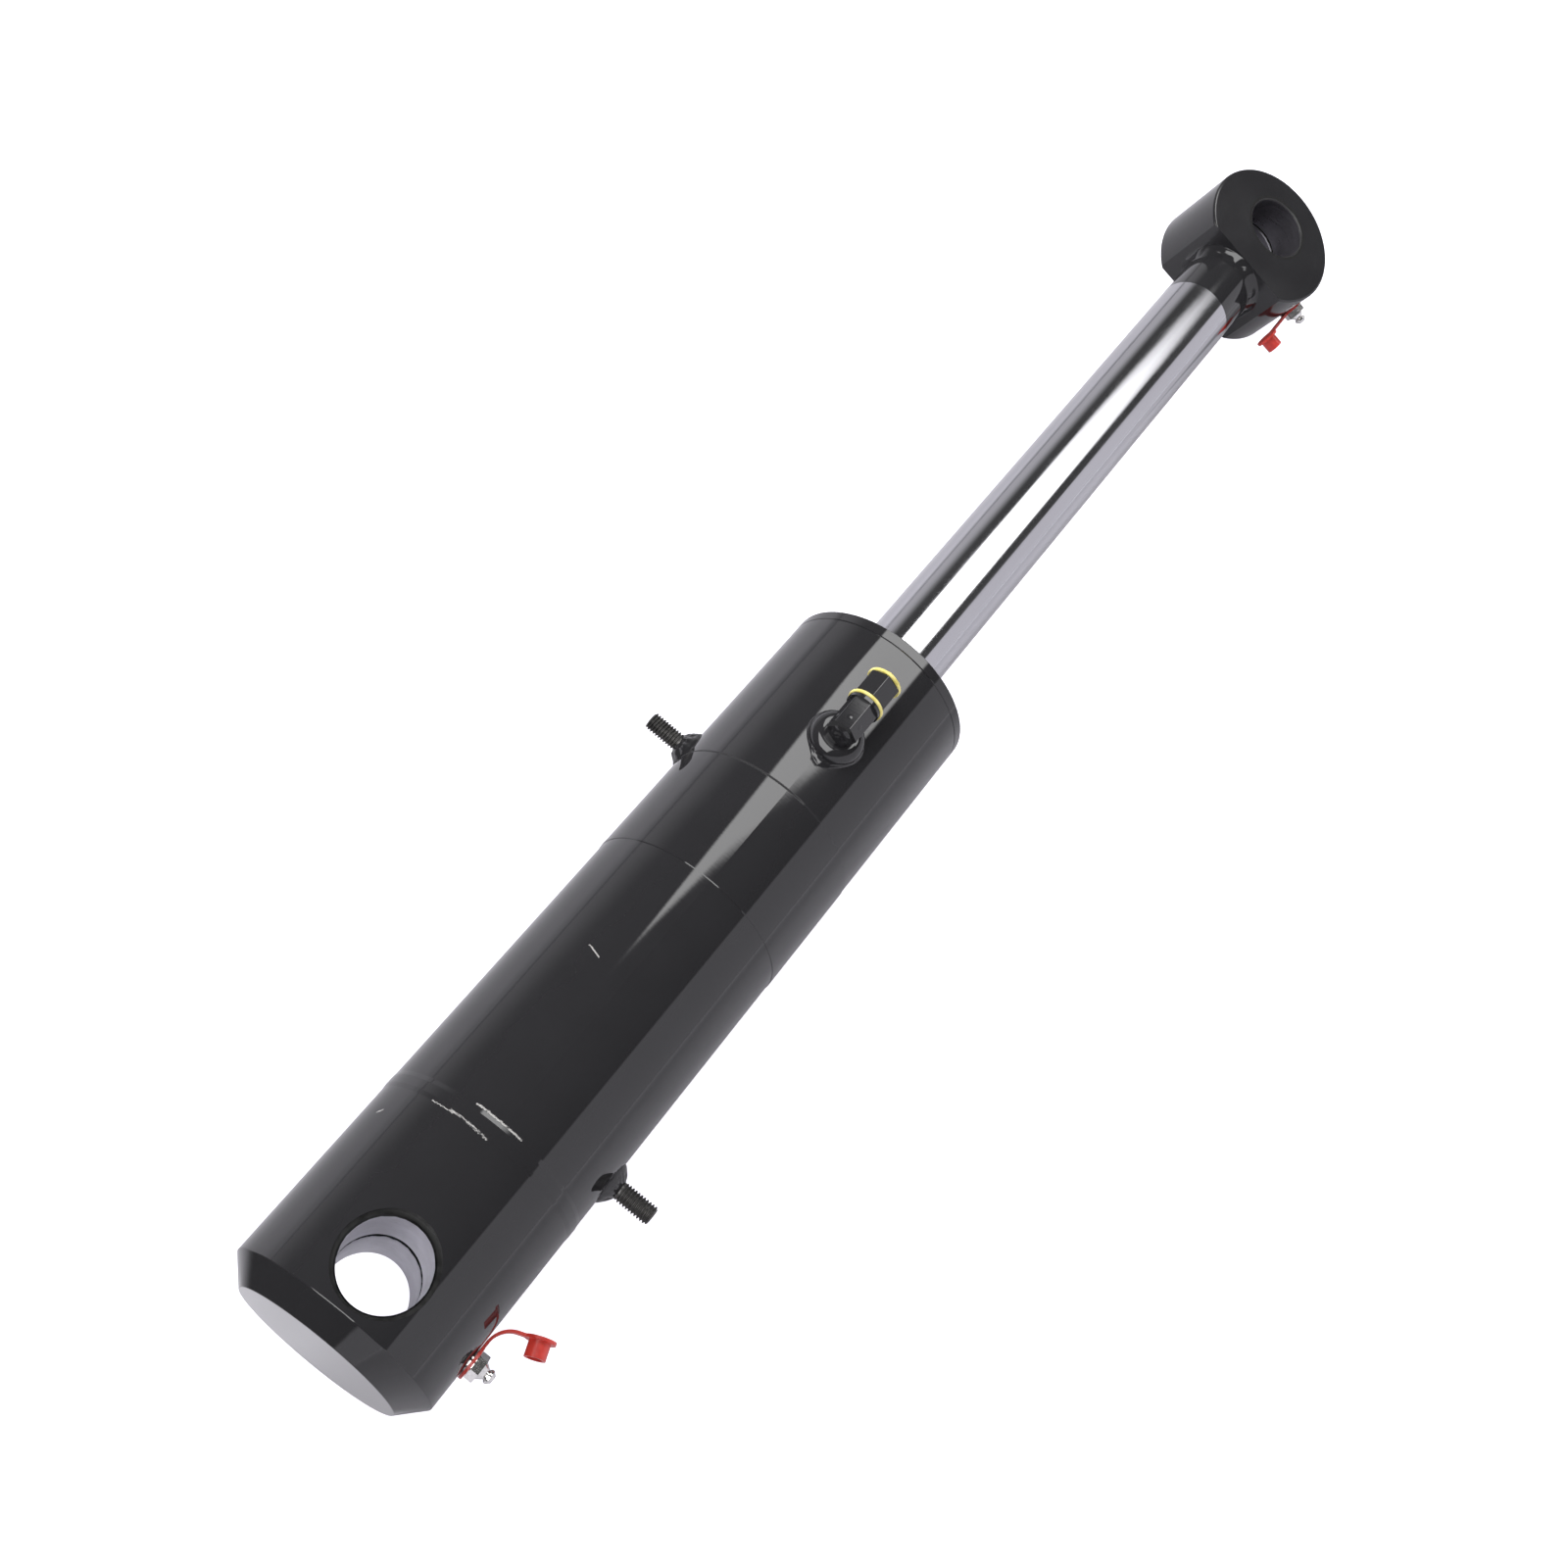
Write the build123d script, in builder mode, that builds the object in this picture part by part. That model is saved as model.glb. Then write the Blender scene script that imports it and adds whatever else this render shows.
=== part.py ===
"""Welded double-acting hydraulic cylinder: chamfered base with a cross pin bore, one chrome rod, welded rod eye.

Frame: origin at the centre of the base pin bore, +X along the cylinder towards the rod eye,
+Z along the base pin bore, towards the side that carries the rod-end port.  Millimetres.
"""
from build123d import *
import math
import os

os.makedirs("parts", exist_ok=True)

INCH = 25.4

# Barrel
BARREL_R = 4.0 * INCH / 2
BORE_R = 3.5 * INCH / 2
BASE_FACE_X = -34.8
BASE_CHAMFER = 10.6
BASE_EDGE_R = 0.6
BASE_JOINT_X = 66.0
CHAMBER_BASE_X = 56.5
TUBE_END_X = 373.0
GLAND_FACE_X = 379.3
REGISTER_R = 46.8
REGISTER_LENGTH = 5.0
WELD_HALF_WIDTH = 4.2
WELD_DEPTH = 3.0
WELD_CROWN = 0.25
BAND_START_X = 213.0
BAND_END_X = 273.0
BAND_RISE = 0.3
BAND_RAMP = 0.4
EDGE_BREAK = 0.4

# Pin bores and their bushes
PIN_R = 1.5 * INCH / 2
BUSH_R = 21.6
BUSH_LEAD_IN = 0.8
BASE_BUSH_HALF_GAP = 2.5
BASE_BUSH_END = 45.0
EYE_BUSH_HALF_GAP = 0.4
GREASE_DRILL_R = 2.0

# Rod, shank and eye
ROD_R = 1.75 * INCH / 2
CHROME_END_X = 733.5
SPIGOT_R = 12.0
SPIGOT_LENGTH = 18.0
EYE_X = 801.6
EYE_R = 3.5 * INCH / 2
EYE_HALF_WIDTH = 26.6
EYE_FLAT_X = 769.2
EYE_PIN_X = 810.0
EYE_EDGE = 1.6
EYE_TURN = 12.2
EYE_WELD_R = 26.2
EYE_WELD_LENGTH = 8.0

# Piston end of the rod
STOP_X = 302.0
STOP_GAP = 0.2
PISTON_LENGTH = 36.0
PISTON_R = BORE_R - 0.3
PISTON_EDGE = 2.5
PILOT_R = 1.25 * INCH / 2
PILOT_FIT = 0.05
NUT_FLATS = 1.875 * INCH
NUT_LENGTH = 22.0
NUT_PROUD = 3.5
NUT_POCKET_R = 30.0
THREAD_PROUD = 1.0

# Seals and guide rings: running fit on the surface they slide on, loose in their grooves
RUNNING_FIT = 0.05
GROOVE_PLAY = 0.3
GUIDE_WIDTH = 6.0
GUIDE_DEPTH = 2.6
SEAL_WIDTH = 9.0
SEAL_DEPTH = 6.0
REAR_GUIDE_X = 268.5
PISTON_SEAL_X = 279.0
FRONT_GUIDE_X = 292.0
O_RING_SECTION = 1.1
PILOT_GROOVE_X = 289.0

# Gland
GLAND_BODY_X = 318.0
GLAND_BODY_R = BORE_R - 0.05
GLAND_NOSE_R = 36.0
GLAND_BORE_R = ROD_R + 0.3
WIPER_X = 370.3
WIPER_END_X = 376.3
WIPER_R = 27.5
WIPER_LIP_X = 380.6
WIPER_MOUTH_R = 25.4
ROD_SEAL_X = 352.0
ROD_SEAL_END_X = 361.0
ROD_SEAL_R = 28.5
ROD_GUIDE_X = 326.0
ROD_GUIDE_END_X = 341.0
ROD_GUIDE_R = 25.2
TUBE_SEAL_X = 345.0
TUBE_SEAL_WIDTH = 7.0
TUBE_SEAL_DEPTH = 4.4
BACKUP_WIDTH = 1.8
TUBE_O_RING_SECTION = 2.1
SPANNER_CIRCLE_R = 38.0
SPANNER_HOLE_R = 3.2
SPANNER_HOLE_DEPTH = 5.0
SPANNER_HOLES = 4

# Rod-end port: boss, elbow, nut and plug, built upright and then leaned round the cylinder
PORT_X = 311.1
PORT_LEAN = 2.0
PORT_BOSS_R = 13.6
PORT_BOSS_WALL_Z = 52.8
PORT_BOSS_TOP_Z = 57.0
PORT_BOSS_TOP_R = 8.5
PORT_DRILL_R = 4.0
PORT_AXIS_Z = 66.5
ELBOW_R = 7.3
ELBOW_FLATS = 14.3
ELBOW_HEX_X = 305.5
ELBOW_HEX_TURN = -18.0
NUT_HEX_TURN = -32.0
HEX_CORNER_R = 0.6
COLLAR_X = 323.0
COLLAR_END_X = 325.0
COLLAR_R = 8.7
NOSE_R = 6.5
NOSE_END_X = 337.0
RING_INNER_R = 6.7
RING_R = 9.4
RING_END_X = 326.8
NUT_END_X = 341.0
PORT_NUT_FLATS = 15.9
HEX_CORNER_CUT = 1.0
PLUG_SHANK_X = 337.6
PLUG_FLANGE_X = 342.8
PLUG_FLANGE_R = 9.1
PLUG_GRIP_X = 346.0
PLUG_GRIP_R = 4.2

# Base port, on the side away from the rod-end port
BASE_PORT_X = 42.0
BASE_BOSS_R = 13.0
BASE_BOSS_END = 56.0
BASE_PASSAGE_Z = -12.0
BASE_PLUG_FLATS = 17.5
BASE_PLUG_HEAD = 7.0
BASE_PLUG_SOCKET_FLATS = 6.35
BASE_PLUG_SOCKET_DEPTH = 4.0
BASE_SEAL_THICKNESS = 1.6

# Fillet welds round the bosses and studs: foot and top, as (radius, height above the cylinder axis)
BOSS_WELD_FOOT = (15.8, 46.0)
BOSS_WELD_TOP = (13.6, 52.6)
BASE_BOSS_WELD_FOOT = (15.4, 45.5)
BASE_BOSS_WELD_TOP = (13.0, 52.8)

# Threaded mounting studs
STUD_R = 0.375 * INCH / 2
STUD_SHANK_R = 4.3
STUD_TIP = 74.2
STUD_ROOT = 48.0
STUD_THREAD_START = 56.6
STUD_END_CHAMFER = 0.9
ROD_STUD_X = 282.2
BASE_STUD_X = 94.2
STUD_WELD_FOOT_Z = 48.6
STUD_WELD_TOP_Z = 56.0
STUD_WELD_TOP_R = 5.6

# Grease fittings and their tethered caps, as heights above the surface they stand on
ZERK_THREAD_R = 4.6
ZERK_THREAD = 9.0
ZERK_FLATS = 11.1
ZERK_HEX_START = 2.1
ZERK_HEX_END = 6.0
ZERK_HEIGHT = 12.4
ZERK_HEAD_R = 3.25
ZERK_WAIST_R = 2.3
EYE_ZERK_X = 803.6
CAP_CLEARANCE = 0.3
EYELET_R = 7.8
EYELET_HOLE_R = 5.0
STRAP_THICKNESS = 1.4
STRAP_WIDTH = 3.6
STRAP_START = 6.0
STRAP_STRAIGHT = 10.0
STRAP_BEND_R = 11.5
CAP_REACH = 34.0
CAP_FLANGE_R = 6.9
CAP_CUP_R = 4.8
CAP_CUP_LENGTH = 7.2
CAP_HOLE_R = 3.5
CAP_HOLE_DEPTH = 5.6

PISTON_FRONT_X = STOP_X - STOP_GAP
PISTON_REAR_X = PISTON_FRONT_X - PISTON_LENGTH
NUT_REAR_X = PISTON_REAR_X - NUT_PROUD
NUT_SEAT_X = NUT_REAR_X + NUT_LENGTH
ROD_REAR_X = NUT_REAR_X - THREAD_PROUD
PORT_Z_AXIS = Axis((PORT_X, 0, 0), (0, 0, 1))

turn = math.radians(EYE_TURN)
eye_z = Vector(0, -math.sin(turn), math.cos(turn))
eye_y = Vector(0, math.cos(turn), math.sin(turn))
EYE_PLANE = Plane(origin=(EYE_X, 0, 0), x_dir=(1, 0, 0), z_dir=eye_z)
BASE_ZERK_PLANE = Plane(origin=(0, -BARREL_R, 0), x_dir=(1, 0, 0), z_dir=(0, -1, 0))
EYE_ZERK_PLANE = Plane(
    origin=Vector(EYE_ZERK_X, 0, 0) - eye_y * EYE_R,
    x_dir=(-1, 0, 0),
    z_dir=eye_y * -1,
)


def outline(*points, plane=Plane.XZ):
    """Closed sketch on a plane; on XZ its points are (x along the cylinder, height above the axis)."""
    with BuildSketch(plane) as sketch:
        with BuildLine():
            Polyline(*points, close=True)
        make_face()
    return sketch.sketch


def hexagon(plane, flats, rotation=0.0, corner_r=0.0):
    """Hexagon sketch of a given size across flats, with its corners rounded if a radius is given."""
    with BuildSketch(plane) as sketch:
        RegularPolygon(radius=flats / 2, side_count=6, major_radius=False, rotation=rotation)
        if corner_r:
            fillet(sketch.vertices(), corner_r)
    return sketch.sketch


def disc(plane, radius, inner=0.0):
    """Disc or ring sketch on a plane."""
    with BuildSketch(plane) as sketch:
        Circle(radius)
        if inner:
            Circle(inner, mode=Mode.SUBTRACT)
    return sketch.sketch


def rectangle_ring(start_x, end_x, inner_r, outer_r):
    """Section of a ring about the cylinder axis."""
    return outline((start_x, inner_r), (end_x, inner_r), (end_x, outer_r), (start_x, outer_r))


def export_leaned(part, label, lean=PORT_LEAN):
    """Export a piece turned round the cylinder axis, from +Z towards -Y."""
    leaned = part.rotate(Axis.X, lean)
    leaned.label = label
    export_step(leaned, f"parts/{label}.step")


# ---------------------------------------------------------------- barrel

with BuildPart() as base_cap:
    revolve(outline(
        (BASE_FACE_X, 0),
        (BASE_FACE_X, BARREL_R - BASE_CHAMFER),
        (BASE_FACE_X + BASE_CHAMFER, BARREL_R),
        (BASE_JOINT_X - WELD_HALF_WIDTH, BARREL_R),
        (BASE_JOINT_X, BARREL_R - WELD_DEPTH),
        (BASE_JOINT_X, REGISTER_R + PILOT_FIT),
        (BASE_JOINT_X - REGISTER_LENGTH, REGISTER_R + PILOT_FIT),
        (BASE_JOINT_X - REGISTER_LENGTH, BORE_R),
        (CHAMBER_BASE_X, BORE_R),
        (CHAMBER_BASE_X, 0),
    ), axis=Axis.X)
    end_edges = base_cap.edges().filter_by(GeomType.CIRCLE).group_by(Axis.X)
    fillet(end_edges[0] + end_edges[1], BASE_EDGE_R)
    extrude(disc(Plane.XY.offset(-BARREL_R), BUSH_R), amount=2 * BARREL_R, mode=Mode.SUBTRACT)
    extrude(disc(BASE_ZERK_PLANE.offset(-ZERK_THREAD), ZERK_THREAD_R), amount=2 * ZERK_THREAD, mode=Mode.SUBTRACT)
    extrude(disc(BASE_ZERK_PLANE, GREASE_DRILL_R), amount=-BARREL_R, mode=Mode.SUBTRACT)
    base_drill = Plane.XY.offset(-BARREL_R).move(Location((BASE_PORT_X, 0, 0)))
    extrude(disc(base_drill, PORT_DRILL_R + 1), amount=BARREL_R + BASE_PASSAGE_Z + PORT_DRILL_R, mode=Mode.SUBTRACT)
    base_passage = Plane(origin=(BASE_PORT_X, 0, BASE_PASSAGE_Z), x_dir=(0, 1, 0), z_dir=(1, 0, 0))
    extrude(disc(base_passage, PORT_DRILL_R), amount=CHAMBER_BASE_X - BASE_PORT_X, mode=Mode.SUBTRACT)
base_cap.part.label = "base_cap"
export_step(base_cap.part, "parts/base_cap.step")

with BuildPart() as barrel_tube:
    revolve(outline(
        (BASE_JOINT_X - REGISTER_LENGTH, BORE_R),
        (BASE_JOINT_X - REGISTER_LENGTH, REGISTER_R),
        (BASE_JOINT_X, REGISTER_R),
        (BASE_JOINT_X, BARREL_R - WELD_DEPTH),
        (BASE_JOINT_X + WELD_HALF_WIDTH, BARREL_R),
        (BAND_START_X - BAND_RAMP, BARREL_R),
        (BAND_START_X, BARREL_R + BAND_RISE),
        (BAND_END_X, BARREL_R + BAND_RISE),
        (BAND_END_X + BAND_RAMP, BARREL_R),
        (TUBE_END_X - EDGE_BREAK, BARREL_R),
        (TUBE_END_X, BARREL_R - EDGE_BREAK),
        (TUBE_END_X, BORE_R),
    ), axis=Axis.X)
    port_drill = Plane.XY.offset(BORE_R - PORT_BOSS_R).move(Location((PORT_X, 0, 0)))
    tube_drill = disc(port_drill, PORT_DRILL_R).rotate(Axis.X, PORT_LEAN)
    extrude(tube_drill, amount=2 * PORT_BOSS_R, mode=Mode.SUBTRACT)
barrel_tube.part.label = "barrel_tube"
export_step(barrel_tube.part, "parts/barrel_tube.step")

with BuildPart() as base_weld:
    revolve(outline(
        (BASE_JOINT_X - WELD_HALF_WIDTH, BARREL_R),
        (BASE_JOINT_X - WELD_HALF_WIDTH / 2, BARREL_R + WELD_CROWN),
        (BASE_JOINT_X + WELD_HALF_WIDTH / 2, BARREL_R + WELD_CROWN),
        (BASE_JOINT_X + WELD_HALF_WIDTH, BARREL_R),
        (BASE_JOINT_X, BARREL_R - WELD_DEPTH),
    ), axis=Axis.X)
base_weld.part.label = "base_weld"
export_step(base_weld.part, "parts/base_weld.step")

EYE_PIN_PLANE = Plane(origin=(EYE_PIN_X, 0, 0), x_dir=(1, 0, 0), z_dir=eye_z)
for label, bush_plane, bush_start, bush_end in (
    ("base_bush_upper", Plane.XY, BASE_BUSH_HALF_GAP, BASE_BUSH_END),
    ("base_bush_lower", Plane.XY, -BASE_BUSH_HALF_GAP, -BASE_BUSH_END),
    ("eye_bush_upper", EYE_PIN_PLANE, EYE_BUSH_HALF_GAP, EYE_HALF_WIDTH),
    ("eye_bush_lower", EYE_PIN_PLANE, -EYE_BUSH_HALF_GAP, -EYE_HALF_WIDTH),
):
    with BuildPart() as bush:
        extrude(disc(bush_plane.offset(bush_start), BUSH_R, PIN_R), amount=bush_end - bush_start)
        chamfer(bush.edges().filter_by(GeomType.CIRCLE).group_by(SortBy.RADIUS)[0], BUSH_LEAD_IN)
    bush.part.label = label
    export_step(bush.part, f"parts/{label}.step")

# ---------------------------------------------------------------- gland and its seals

with BuildPart() as gland:
    revolve(outline(
        (STOP_X, GLAND_BORE_R),
        (STOP_X, GLAND_NOSE_R),
        (GLAND_BODY_X, GLAND_NOSE_R),
        (GLAND_BODY_X, GLAND_BODY_R),
        (TUBE_SEAL_X, GLAND_BODY_R),
        (TUBE_SEAL_X, GLAND_BODY_R - TUBE_SEAL_DEPTH),
        (TUBE_SEAL_X + TUBE_SEAL_WIDTH, GLAND_BODY_R - TUBE_SEAL_DEPTH),
        (TUBE_SEAL_X + TUBE_SEAL_WIDTH, GLAND_BODY_R),
        (TUBE_END_X, GLAND_BODY_R),
        (TUBE_END_X, BARREL_R - EDGE_BREAK),
        (TUBE_END_X + EDGE_BREAK, BARREL_R),
        (GLAND_FACE_X - 2 * EDGE_BREAK, BARREL_R),
        (GLAND_FACE_X, BARREL_R - 2 * EDGE_BREAK),
        (GLAND_FACE_X, WIPER_MOUTH_R),
        (WIPER_END_X, WIPER_MOUTH_R),
        (WIPER_END_X, WIPER_R),
        (WIPER_X, WIPER_R),
        (WIPER_X, GLAND_BORE_R),
        (ROD_SEAL_END_X, GLAND_BORE_R),
        (ROD_SEAL_END_X, ROD_SEAL_R),
        (ROD_SEAL_X, ROD_SEAL_R),
        (ROD_SEAL_X, GLAND_BORE_R),
        (ROD_GUIDE_END_X, GLAND_BORE_R),
        (ROD_GUIDE_END_X, ROD_GUIDE_R),
        (ROD_GUIDE_X, ROD_GUIDE_R),
        (ROD_GUIDE_X, GLAND_BORE_R),
    ), axis=Axis.X)
    with BuildSketch(Plane.YZ.offset(GLAND_FACE_X)):
        with PolarLocations(SPANNER_CIRCLE_R, SPANNER_HOLES, start_angle=45):
            Circle(SPANNER_HOLE_R)
    extrude(amount=-SPANNER_HOLE_DEPTH, mode=Mode.SUBTRACT)
gland.part.label = "gland"
export_step(gland.part, "parts/gland.step")

with BuildPart() as rod_wiper:
    lip_r = ROD_R + RUNNING_FIT
    revolve(outline(
        (WIPER_X, lip_r + 1.2),
        (WIPER_X + 1.5, lip_r),
        (WIPER_LIP_X - 1.0, lip_r),
        (WIPER_LIP_X, lip_r + 0.5),
        (WIPER_LIP_X - 0.6, WIPER_MOUTH_R - 0.9),
        (WIPER_END_X, WIPER_MOUTH_R - 0.4),
        (WIPER_END_X, WIPER_R),
        (WIPER_X, WIPER_R),
    ), axis=Axis.X)
rod_wiper.part.label = "rod_wiper"
export_step(rod_wiper.part, "parts/rod_wiper.step")

for label, start_x, end_x, inner_r, outer_r in (
    ("rod_seal", ROD_SEAL_X, ROD_SEAL_END_X, ROD_R + RUNNING_FIT, ROD_SEAL_R),
    ("rod_guide_ring", ROD_GUIDE_X, ROD_GUIDE_END_X, ROD_R + RUNNING_FIT, ROD_GUIDE_R),
    ("gland_backup_ring", TUBE_SEAL_X + TUBE_SEAL_WIDTH - BACKUP_WIDTH, TUBE_SEAL_X + TUBE_SEAL_WIDTH,
     GLAND_BODY_R - TUBE_SEAL_DEPTH, BORE_R),
):
    with BuildPart() as ring:
        revolve(rectangle_ring(start_x, end_x, inner_r, outer_r), axis=Axis.X)
    ring.part.label = label
    export_step(ring.part, f"parts/{label}.step")

with BuildPart() as gland_o_ring:
    with BuildSketch(Plane.XZ):
        with Locations((TUBE_SEAL_X + TUBE_O_RING_SECTION + 0.4, BORE_R - TUBE_O_RING_SECTION - 0.05)):
            Circle(TUBE_O_RING_SECTION)
    revolve(axis=Axis.X)
gland_o_ring.part.label = "gland_o_ring"
export_step(gland_o_ring.part, "parts/gland_o_ring.step")

# ---------------------------------------------------------------- rod-end port

with BuildPart() as port_boss:
    with BuildSketch(Plane.XZ):
        with BuildLine():
            Polyline(
                (PORT_X, PORT_BOSS_TOP_Z),
                (PORT_X, BORE_R),
                (PORT_X + PORT_BOSS_R, BORE_R),
                (PORT_X + PORT_BOSS_R, PORT_BOSS_WALL_Z),
            )
            RadiusArc((PORT_X + PORT_BOSS_R, PORT_BOSS_WALL_Z), (PORT_X + PORT_BOSS_TOP_R, PORT_BOSS_TOP_Z), -6.0)
            Line((PORT_X + PORT_BOSS_TOP_R, PORT_BOSS_TOP_Z), (PORT_X, PORT_BOSS_TOP_Z))
        make_face()
    revolve(axis=PORT_Z_AXIS)
    extrude(disc(Plane.YZ.offset(PORT_X - BARREL_R), BARREL_R), amount=2 * BARREL_R, mode=Mode.SUBTRACT)
    extrude(disc(port_drill, PORT_DRILL_R), amount=2 * PORT_BOSS_R, mode=Mode.SUBTRACT)
export_leaned(port_boss.part, "port_boss")

with BuildPart() as port_elbow:
    elbow_foot = Plane.XY.offset(PORT_BOSS_TOP_Z).move(Location((PORT_X, 0, 0)))
    extrude(disc(elbow_foot, ELBOW_R), amount=PORT_AXIS_Z - PORT_BOSS_TOP_Z)
    with Locations((PORT_X, 0, PORT_AXIS_Z)):
        Sphere(ELBOW_R)
    split(bisect_by=elbow_foot, keep=Keep.TOP)
    port_face = Plane(origin=(0, 0, PORT_AXIS_Z), x_dir=(0, 1, 0), z_dir=(1, 0, 0))
    elbow_hex = hexagon(port_face.offset(ELBOW_HEX_X), ELBOW_FLATS, ELBOW_HEX_TURN, HEX_CORNER_R)
    extrude(elbow_hex, amount=COLLAR_X - ELBOW_HEX_X)
    extrude(disc(port_face.offset(COLLAR_X), COLLAR_R), amount=COLLAR_END_X - COLLAR_X)
    extrude(disc(port_face.offset(COLLAR_END_X), NOSE_R), amount=NOSE_END_X - COLLAR_END_X)
    extrude(disc(elbow_foot, PORT_DRILL_R), amount=PORT_AXIS_Z - PORT_BOSS_TOP_Z, mode=Mode.SUBTRACT)
    extrude(disc(port_face.offset(PORT_X), PORT_DRILL_R), amount=NOSE_END_X - PORT_X, mode=Mode.SUBTRACT)
export_leaned(port_elbow.part, "port_elbow")

with BuildPart() as port_seal_ring:
    extrude(disc(port_face.offset(COLLAR_END_X), RING_R, RING_INNER_R), amount=RING_END_X - COLLAR_END_X)
    fillet(port_seal_ring.edges().filter_by(GeomType.CIRCLE).group_by(SortBy.RADIUS)[-1], 0.6)
export_leaned(port_seal_ring.part, "port_seal_ring")

with BuildPart() as port_nut:
    corner_r = PORT_NUT_FLATS / math.sqrt(3)
    extrude(disc(port_face.offset(RING_END_X), corner_r), amount=NUT_END_X - RING_END_X)
    chamfer(port_nut.edges().filter_by(GeomType.CIRCLE), HEX_CORNER_CUT / 2, HEX_CORNER_CUT)
    extrude(
        hexagon(port_face.offset(RING_END_X), PORT_NUT_FLATS, NUT_HEX_TURN, HEX_CORNER_R),
        amount=NUT_END_X - RING_END_X,
        mode=Mode.INTERSECT,
    )
    extrude(disc(port_face.offset(RING_END_X), RING_INNER_R), amount=NUT_END_X - RING_END_X, mode=Mode.SUBTRACT)
export_leaned(port_nut.part, "port_nut")

with BuildPart() as port_plug:
    extrude(disc(port_face.offset(PLUG_SHANK_X), NOSE_R), amount=NUT_END_X - PLUG_SHANK_X)
    extrude(disc(port_face.offset(NUT_END_X), PLUG_FLANGE_R), amount=PLUG_FLANGE_X - NUT_END_X)
    fillet(port_plug.edges().filter_by(GeomType.CIRCLE).group_by(SortBy.RADIUS)[-1], 0.6)
    extrude(disc(port_face.offset(PLUG_FLANGE_X), PLUG_GRIP_R), amount=PLUG_GRIP_X - PLUG_FLANGE_X)
export_leaned(port_plug.part, "port_plug")

# ---------------------------------------------------------------- base port

with BuildPart() as base_port_boss:
    base_boss_plane = Plane.XY.offset(-BASE_BOSS_END).move(Location((BASE_PORT_X, 0, 0)))
    extrude(disc(base_boss_plane, BASE_BOSS_R), amount=BASE_BOSS_R)
    chamfer(base_port_boss.edges().filter_by(GeomType.CIRCLE).sort_by(Axis.Z)[0], 2 * EDGE_BREAK)
    extrude(disc(Plane.YZ.offset(BASE_PORT_X - BARREL_R), BARREL_R), amount=2 * BARREL_R, mode=Mode.SUBTRACT)
    extrude(disc(base_boss_plane, PORT_DRILL_R + 1), amount=BASE_BOSS_R, mode=Mode.SUBTRACT)
base_port_boss.part.label = "base_port_boss"
export_step(base_port_boss.part, "parts/base_port_boss.step")

with BuildPart() as base_port_seal:
    extrude(disc(base_boss_plane, RING_R, PORT_DRILL_R + 1), amount=-BASE_SEAL_THICKNESS)
base_port_seal.part.label = "base_port_seal"
export_step(base_port_seal.part, "parts/base_port_seal.step")

with BuildPart() as base_port_plug:
    plug_seat = base_boss_plane.offset(-BASE_SEAL_THICKNESS)
    extrude(disc(plug_seat, PORT_DRILL_R + 1), amount=BASE_SEAL_THICKNESS + BASE_BOSS_R - PORT_DRILL_R)
    extrude(hexagon(plug_seat, BASE_PLUG_FLATS), amount=-BASE_PLUG_HEAD)
    extrude(
        hexagon(plug_seat.offset(-BASE_PLUG_HEAD), BASE_PLUG_SOCKET_FLATS),
        amount=BASE_PLUG_SOCKET_DEPTH,
        mode=Mode.SUBTRACT,
    )
base_port_plug.part.label = "base_port_plug"
export_step(base_port_plug.part, "parts/base_port_plug.step")

# ---------------------------------------------------------------- fillet welds round the bosses

for label, foot, top, weld_x, side, lean in (
    ("port_boss_weld", BOSS_WELD_FOOT, BOSS_WELD_TOP, PORT_X, 1, PORT_LEAN),
    ("base_port_weld", BASE_BOSS_WELD_FOOT, BASE_BOSS_WELD_TOP, BASE_PORT_X, -1, 0.0),
):
    with BuildPart() as boss_weld:
        revolve(outline(
            (weld_x + top[0], side * foot[1]),
            (weld_x + foot[0], side * foot[1]),
            (weld_x + top[0], side * top[1]),
        ), axis=Axis((weld_x, 0, 0), (0, 0, 1)))
        extrude(disc(Plane.YZ.offset(weld_x - BARREL_R), BARREL_R), amount=2 * BARREL_R, mode=Mode.SUBTRACT)
    export_leaned(boss_weld.part, label, lean)

# ---------------------------------------------------------------- mounting studs

for name, stud_x, side, weld_foot_r in (("rod_end", ROD_STUD_X, 1, 11.5), ("base_end", BASE_STUD_X, -1, 10.6)):
    stud_plane = Plane(origin=(stud_x, 0, 0), x_dir=(1, 0, 0), z_dir=(0, side, 0))
    with BuildPart() as stud:
        extrude(disc(stud_plane.offset(STUD_ROOT), STUD_SHANK_R), amount=STUD_THREAD_START - STUD_ROOT)
        extrude(disc(stud_plane.offset(STUD_THREAD_START), STUD_R), amount=STUD_TIP - STUD_THREAD_START)
        chamfer(stud.edges().filter_by(GeomType.CIRCLE).group_by(Axis.Y)[-1 if side > 0 else 0], STUD_END_CHAMFER)
        add(barrel_tube.part, mode=Mode.SUBTRACT)
    stud.part.label = f"stud_{name}"
    export_step(stud.part, f"parts/stud_{name}.step")

    with BuildPart() as stud_weld:
        with BuildSketch(stud_plane.offset(STUD_WELD_FOOT_Z)):
            Circle(weld_foot_r)
        with BuildSketch(stud_plane.offset(STUD_WELD_TOP_Z)):
            Circle(STUD_WELD_TOP_R)
        loft()
        add(barrel_tube.part, mode=Mode.SUBTRACT)
        extrude(
            disc(stud_plane.offset(STUD_ROOT), STUD_SHANK_R),
            amount=STUD_WELD_TOP_Z - STUD_ROOT,
            mode=Mode.SUBTRACT,
        )
    stud_weld.part.label = f"stud_{name}_weld"
    export_step(stud_weld.part, f"parts/stud_{name}_weld.step")

# ---------------------------------------------------------------- grease fittings and their tethered caps

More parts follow.
